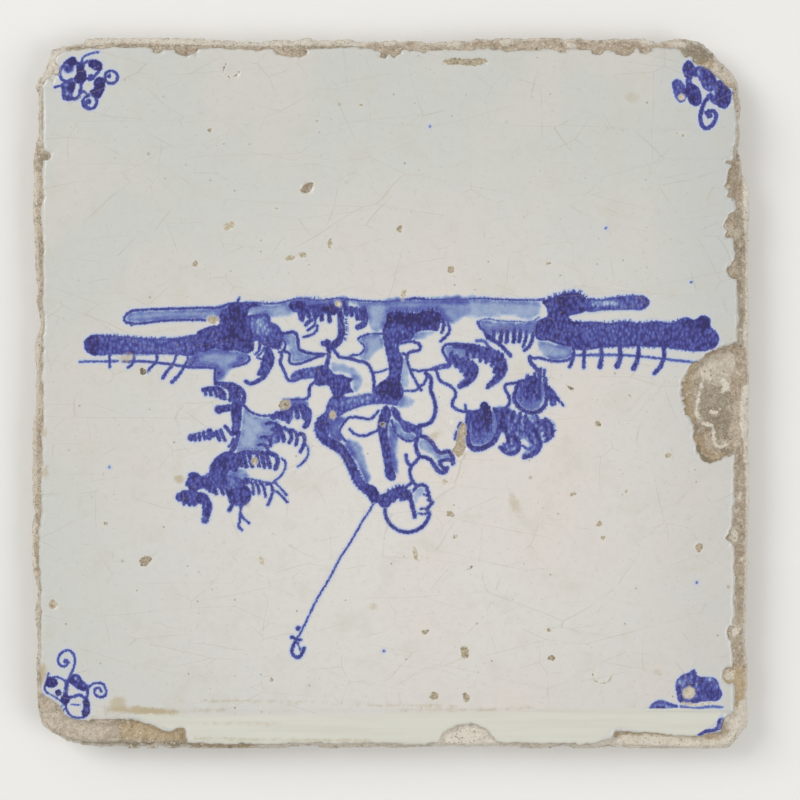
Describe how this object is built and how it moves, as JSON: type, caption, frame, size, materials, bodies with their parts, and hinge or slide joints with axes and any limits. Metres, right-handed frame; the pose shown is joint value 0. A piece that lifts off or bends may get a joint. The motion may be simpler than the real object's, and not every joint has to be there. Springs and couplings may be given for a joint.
{
  "type": "painted wall tile",
  "caption": "Square hand-made earthenware wall tile with a tin-glazed, blue-painted face, chipped edges and a smaller flat back.",
  "frame": {"origin": "middle of the flat back face, under the middle of the tile's bounding box", "axes": "+Z out of the glazed face, +Y towards the top edge as pictured, +X towards the edge with the large side flake; the painted figure's head points to -Y"},
  "size_m": [0.131, 0.1298, 0.008],
  "materials": {
    "glazed_earthenware": "white tin glaze painted in cobalt blue over a buff earthenware body, crazed and worn"
  },
  "bodies": {
    "root": {"tile": "glazed_earthenware"}
  },
  "joints": []
}
